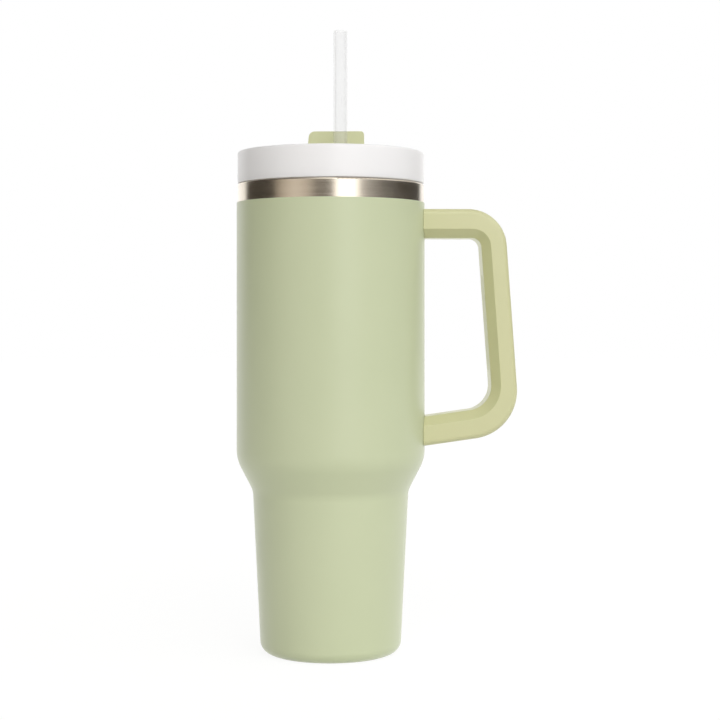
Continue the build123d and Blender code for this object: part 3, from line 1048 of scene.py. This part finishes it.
@dataclass
class SpunWall:
    """The vessel's coated outer wall, spun from one sheet with a stepped foot.

    The coat's bare edge is softly rounded where the mouth band comes out of it.

    Args:
        barrel_r: Radius of the barrel.
        foot_r: Radius where the foot's taper meets the floor.
        taper_top_r: Radius at the top of the taper.
        step_low_z: Height where the taper turns out into the step.
        step_high_z: Height where the step turns up into the barrel.
        top_z: Height of the coat's bare edge.
        opening_r: Radius of the foot's opening.
        sheet: Thickness of the sheet.
        foot_fillet: Radius that rounds the foot.
        step_low_fillet: Radius that rounds the step's lower corner.
        step_high_fillet: Radius that rounds its upper corner.
        edge_fillet: Radius that rounds the coat's bare edge.
        arc_steps: Straight lines in each rounded corner.
        steps_around: Straight lines round the mug.
    """

    barrel_r: float = 49.0 * MM
    foot_r: float = 36.4 * MM
    taper_top_r: float = 40.55 * MM
    step_low_z: float = 84.3 * MM
    step_high_z: float = 100.7 * MM
    top_z: float = 233.8 * MM
    opening_r: float = 27.0 * MM
    sheet: float = 0.5 * MM
    foot_fillet: float = 6.3 * MM
    step_low_fillet: float = 12.0 * MM
    step_high_fillet: float = 20.0 * MM
    edge_fillet: float = 0.24 * MM
    arc_steps: int = 14
    steps_around: int = 288

    def build(self, wardrobe: Wardrobe) -> bpy.types.Object:
        """Spin the wall's half section about the mug's axis.

        Args:
            wardrobe: Where its finish comes from.

        Returns:
            The finished wall.
        """
        line = rounded_line(*self._section(), self.arc_steps)
        seed = bpy.data.meshes.new("wall_section")
        seed.from_pydata([(x, 0.0, z) for x, z in line], [], [])
        counts = {"Steps Around": self.steps_around, "Section Points": len(line)}
        tree = Growth("spun_wall", counts)
        around = tree.given["Steps Around"]
        count = tree.given["Section Points"]
        columns = tree.maths("ADD", around, 1.0)
        rows = tree.maths("ADD", count, 1.0)
        sheet = tree.node(
            "GeometryNodeMeshGrid", {}, {"Vertices X": rows, "Vertices Y": columns}
        )
        index = tree.node("GeometryNodeInputIndex", {}, {})
        inside = tree.maths("ADD", index, 0.5)
        row = tree.maths("FLOOR", tree.maths("DIVIDE", inside, columns))
        column = tree.maths("SUBTRACT", index, tree.maths("MULTIPLY", row, columns))
        share = tree.maths("DIVIDE", column, around)
        turn = tree.maths("MULTIPLY", share, 2 * math.pi)
        point = tree.node(
            "GeometryNodeSampleIndex",
            {"data_type": "FLOAT_VECTOR", "domain": "POINT"},
            {
                "Geometry": tree.given["Geometry"],
                "Value": tree.node("GeometryNodeInputPosition", {}, {}),
                "Index": tree.maths("MODULO", row, count),
            },
        )
        split = tree.node("ShaderNodeSeparateXYZ", {}, {0: point}).node.outputs
        x = tree.maths("MULTIPLY", split[0], tree.maths("COSINE", turn))
        y = tree.maths("MULTIPLY", split[0], tree.maths("SINE", turn))
        place = tree.node("ShaderNodeCombineXYZ", {}, {0: x, 1: y, 2: split[2]})
        spun = tree.node(
            "GeometryNodeSetPosition", {}, {"Geometry": sheet, "Position": place}
        )
        piece = tree.grow(spun, "coated_wall", seed, wardrobe.material(Finish.BODY))
        turn_outwards(piece.data)
        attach(piece, "vessel")
        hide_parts("outer_shell")
        return piece

    def _section(self) -> tuple[list[Point], list[float]]:
        """Draw the sheet's half section, up its outside and down its inside.

        Returns:
            The corners and their radii.
        """
        lean = (self.taper_top_r - self.foot_r) / self.step_low_z
        thin = self.sheet
        inner_foot = self.foot_r + lean * thin - thin
        points = [
            (self.opening_r, 0.0),
            (self.foot_r, 0.0),
            (self.taper_top_r, self.step_low_z),
            (self.barrel_r, self.step_high_z),
            (self.barrel_r, self.top_z),
            (self.barrel_r - thin, self.top_z),
            (self.barrel_r - thin, self.step_high_z),
            (self.taper_top_r - thin, self.step_low_z),
            (inner_foot, thin),
            (self.opening_r, thin),
        ]
        radii = [
            0.0,
            self.foot_fillet,
            self.step_low_fillet,
            self.step_high_fillet,
            self.edge_fillet,
            0.0,
            self.step_high_fillet,
            self.step_low_fillet,
            self.foot_fillet - thin,
            0.0,
        ]
        return points, radii


@dataclass
class SoftEdges:
    """A moulding made from its CAD node, with every sharp edge eased.

    Args:
        node: The CAD node that it replaces.
        name: The moulding's name.
        body: The body that it rides.
        slot: The name of its material slot; not used.
        finish: Its finish.
        width: How far an edge is eased, in metres.
        sharp: Edges that turn by more than this are eased, in degrees.
        flat: Faces that turn by less than this are joined first, in degrees.
        segments: Strips in each eased edge.
    """

    node: str
    name: str
    body: str
    slot: str
    finish: Finish
    width: float
    sharp: float = 24.0
    flat: float = 0.6
    segments: int = 3

    def build(self, wardrobe: Wardrobe, frame: dict[str, Any]) -> bpy.types.Object:
        """Copy the node's mesh, merge it and ease its edges.

        Args:
            wardrobe: Where its finish comes from.
            frame: The loaded frame.

        Returns:
            The finished moulding.
        """
        work = bmesh.new()
        work.from_mesh(frame["nodes"][self.node].data)
        bmesh.ops.remove_doubles(work, verts=work.verts, dist=MERGE_GAP)
        flat = math.radians(self.flat)
        bmesh.ops.dissolve_limit(
            work, angle_limit=flat, verts=work.verts, edges=work.edges
        )
        mesh = bpy.data.meshes.new(self.name)
        points = [tuple(vert.co) for vert in work.verts]
        faces = [[vert.index for vert in face.verts] for face in work.faces]
        mesh.from_pydata(points, [], faces)
        work.free()
        piece = bpy.data.objects.new(self.name, mesh)
        bpy.context.scene.collection.objects.link(piece)
        wardrobe.dress(piece, self.finish)
        mesh.shade_smooth()
        bevel = piece.modifiers.new("eased", "BEVEL")
        bevel.limit_method = "ANGLE"
        bevel.angle_limit = math.radians(self.sharp)
        bevel.width = self.width
        bevel.segments = self.segments
        bevel.use_clamp_overlap = True
        bevel.harden_normals = True
        view = bpy.context.evaluated_depsgraph_get()
        eased = bpy.data.meshes.new_from_object(piece.evaluated_get(view))
        piece.modifiers.clear()
        piece.data = eased
        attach(piece, self.body)
        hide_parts(self.node)
        return piece


MOULDINGS = (
    SoftEdges(
        node="handle_shell",
        name="handle_moulding",
        body="vessel",
        slot="handle_coat",
        finish=Finish.HANDLE,
        width=0.9 * MM,
    ),
    SoftEdges(
        node="rotating_cover",
        name="cover_moulding",
        body="cover",
        slot="cover_sage",
        finish=Finish.COVER,
        width=0.35 * MM,
    ),
)

NODE_FINISHES = {
    "outer_shell": Finish.BODY,
    "mouth_band": Finish.STEEL,
    "inner_liner": Finish.STEEL,
    "insulation_foil": Finish.FOIL,
    "vacuum_plate": Finish.STEEL,
    "seal_bead": Finish.BEAD,
    "getter": Finish.GETTER,
    "base_cover": Finish.STEEL,
    "handle_bracket_upper": Finish.STEEL,
    "handle_bracket_lower": Finish.STEEL,
    "handle_shell": Finish.HANDLE,
    "grip_pad": Finish.GRIP,
    "handle_screws": Finish.STEEL,
    "handle_plugs": Finish.HANDLE,
    "lid_body": Finish.LID,
    "lid_gasket": Finish.SILICONE,
    "straw_grommet": Finish.SILICONE,
    "port_seal": Finish.SILICONE,
    "pivot_seal": Finish.SILICONE,
    "rotating_cover": Finish.COVER,
    "cover_retainer": Finish.LID,
    "straw": Finish.STRAW,
}


def main() -> None:
    """Build the mug's looks round the frame."""
    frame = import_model()
    wardrobe = Wardrobe()
    Studio().build()
    for node, finish in NODE_FINISHES.items():
        wardrobe.dress(frame["nodes"][node], finish)
        LOG.info("dressed %s in %s", node, finish.name)
    made = [SpunWall().build(wardrobe)]
    made += [moulding.build(wardrobe, frame) for moulding in MOULDINGS]
    for piece in made:
        LOG.info("built %s with %d faces", piece.name, len(piece.data.polygons))


if __name__ == "__main__":
    logging.basicConfig(level=logging.INFO, format="%(name)s: %(message)s")
    main()
